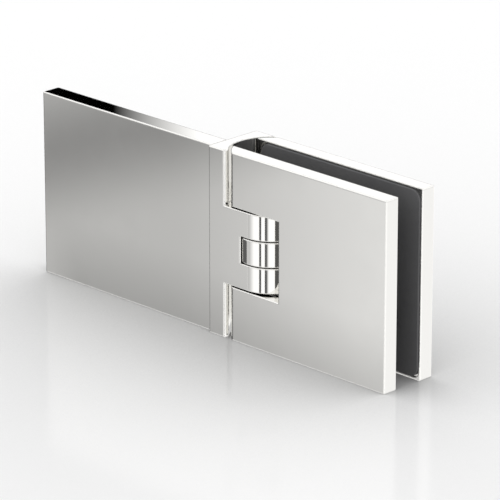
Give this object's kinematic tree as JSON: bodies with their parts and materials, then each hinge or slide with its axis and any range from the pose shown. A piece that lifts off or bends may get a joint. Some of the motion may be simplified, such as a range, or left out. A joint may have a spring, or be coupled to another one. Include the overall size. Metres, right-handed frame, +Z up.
{
  "type": "glass door hinge",
  "caption": "Wall-to-glass door hinge with a covered wall plate, a knuckled pivot block and a notched two-plate clamp that grips a glass panel.",
  "frame": {"origin": "middle of the base of the whole hinge at rest, on its mid-depth plane", "axes": "+X from the wall plate to the clamp's free end, -Y out of the show face, +Z up along the pivot"},
  "size_m": [0.1736, 0.024, 0.07],
  "materials": {
    "polished_chrome": "polished chrome plate on brass",
    "stainless_steel": "turned stainless steel",
    "bearing_bronze": "sintered bronze",
    "gasket_rubber": "matt dark grey rubber sheet",
    "black_polymer": "black acetal",
    "clear_nylon": "natural nylon"
  },
  "bodies": {
    "wall_side": {"wall_body": "polished_chrome", "wall_cover": "polished_chrome", "cover_grub_screws": "stainless_steel", "pin_grub_screws": "stainless_steel", "pivot_pin": "stainless_steel", "lower_washer": "black_polymer"},
    "door_side": {"pivot_block": "polished_chrome", "lower_bush": "bearing_bronze", "upper_bush": "bearing_bronze", "upper_washer": "black_polymer", "front_plate": "polished_chrome", "back_plate": "polished_chrome", "front_gasket": "gasket_rubber", "back_gasket": "gasket_rubber", "core_sleeve": "clear_nylon", "block_screws": "stainless_steel", "clamp_screws": "stainless_steel", "guide_dowels": "stainless_steel"}
  },
  "joints": [
    {"name": "door_swing", "type": "hinge", "parent": "wall_side", "child": "door_side", "pos_m": [0.0206, 0, 0.035], "axis": [0, 0, 1], "range_deg": [-86, 76]}
  ]
}
